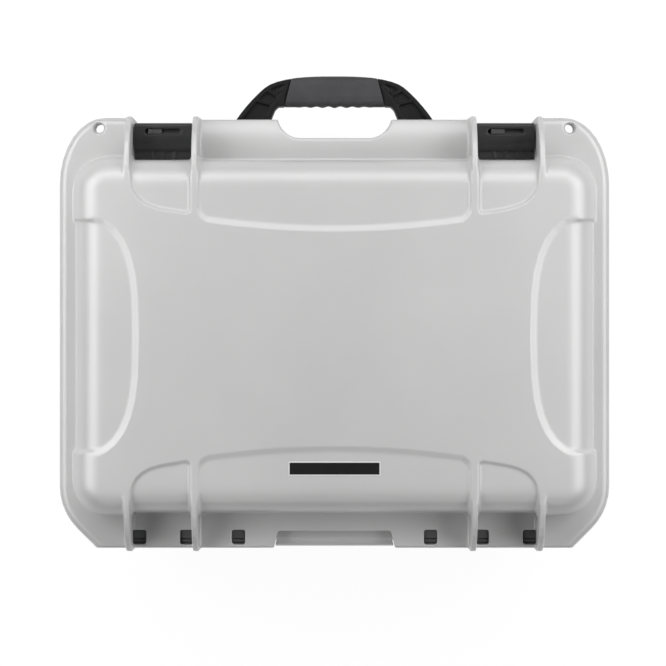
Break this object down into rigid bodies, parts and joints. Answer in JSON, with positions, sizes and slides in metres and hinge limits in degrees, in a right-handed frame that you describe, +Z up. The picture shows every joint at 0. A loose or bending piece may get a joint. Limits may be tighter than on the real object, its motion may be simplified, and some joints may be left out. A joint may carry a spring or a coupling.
{
  "type": "drone carrying case",
  "caption": "Hard moulded carrying case with a pinned hinge, claw latches with lock slides, a folding handle, a pressure valve and cut foam for a drone and its kit.",
  "frame": {"origin": "middle of the base's flat underside, on the floor, with the case lying shut on its base", "axes": "+X along the front towards the right-hand latch as seen from the front, +Y from the front to the hinge side, +Z up through the lid"},
  "size_m": [0.475, 0.4121, 0.178],
  "materials": {
    "silver_plastic": "satin",
    "black_nylon": "satin",
    "lock_nylon": "satin",
    "grip_rubber": "matte",
    "seal_rubber": "matte",
    "steel": "satin",
    "label_plastic": "gloss",
    "foam": "matte"
  },
  "bodies": {
    "base": {"base_shell": "silver_plastic", "hinge_pin_left": "steel", "hinge_pin_right": "steel", "claw_pin_left": "steel", "claw_pin_right": "steel", "handle_pin_left": "steel", "handle_pin_right": "steel", "valve_body": "black_nylon", "valve_cap": "lock_nylon", "valve_seal": "seal_rubber", "valve_nut": "black_nylon", "floor_pad": "foam", "base_foam": "foam"},
    "lid": {"lid_shell": "silver_plastic", "gasket": "seal_rubber", "label_plate": "label_plastic", "hinge_leaf_left": "black_nylon", "hinge_leaf_right": "black_nylon", "hinge_screws": "steel", "lid_foam": "foam"},
    "handle": {"handle_frame": "black_nylon", "handle_grip": "grip_rubber"},
    "claw_left": {"latch_claw_left": "black_nylon", "lever_pin_left": "steel"},
    "lever_left": {"latch_lever_left": "black_nylon"},
    "lock_left": {"latch_lock_left": "lock_nylon"},
    "claw_right": {"latch_claw_right": "black_nylon", "lever_pin_right": "steel"},
    "lever_right": {"latch_lever_right": "black_nylon"},
    "lock_right": {"latch_lock_right": "lock_nylon"}
  },
  "joints": [
    {"name": "lid_hinge", "type": "hinge", "parent": "base", "child": "lid", "pos_m": [0, 0.1765, 0.115], "axis": [-1, 0, 0], "range_deg": [0, 105]},
    {"name": "handle_fold", "type": "hinge", "parent": "base", "child": "handle", "pos_m": [0, -0.17, 0.098], "axis": [1, 0, 0], "range_deg": [0, 90]},
    {"name": "claw_left_swing", "type": "hinge", "parent": "base", "child": "claw_left", "pos_m": [-0.1474, -0.172, 0.1], "axis": [1, 0, 0], "range_deg": [0, 34]},
    {"name": "lever_left_pull", "type": "hinge", "parent": "claw_left", "child": "lever_left", "pos_m": [-0.1474, -0.1811, 0.126], "axis": [-1, 0, 0], "range_deg": [0, 75]},
    {"name": "lock_left_slide", "type": "slide", "parent": "claw_left", "child": "lock_left", "axis": [-1, 0, 0], "range_m": [0, 0.0145]},
    {"name": "claw_right_swing", "type": "hinge", "parent": "base", "child": "claw_right", "pos_m": [0.1474, -0.172, 0.1], "axis": [1, 0, 0], "range_deg": [0, 34]},
    {"name": "lever_right_pull", "type": "hinge", "parent": "claw_right", "child": "lever_right", "pos_m": [0.1474, -0.1811, 0.126], "axis": [-1, 0, 0], "range_deg": [0, 75]},
    {"name": "lock_right_slide", "type": "slide", "parent": "claw_right", "child": "lock_right", "axis": [-1, 0, 0], "range_m": [0, 0.0145]}
  ],
  "couplings": [
    {"joint": "lever_left_pull", "follows": "claw_left_swing", "ratio": 2.2},
    {"joint": "lever_right_pull", "follows": "claw_right_swing", "ratio": 2.2}
  ]
}
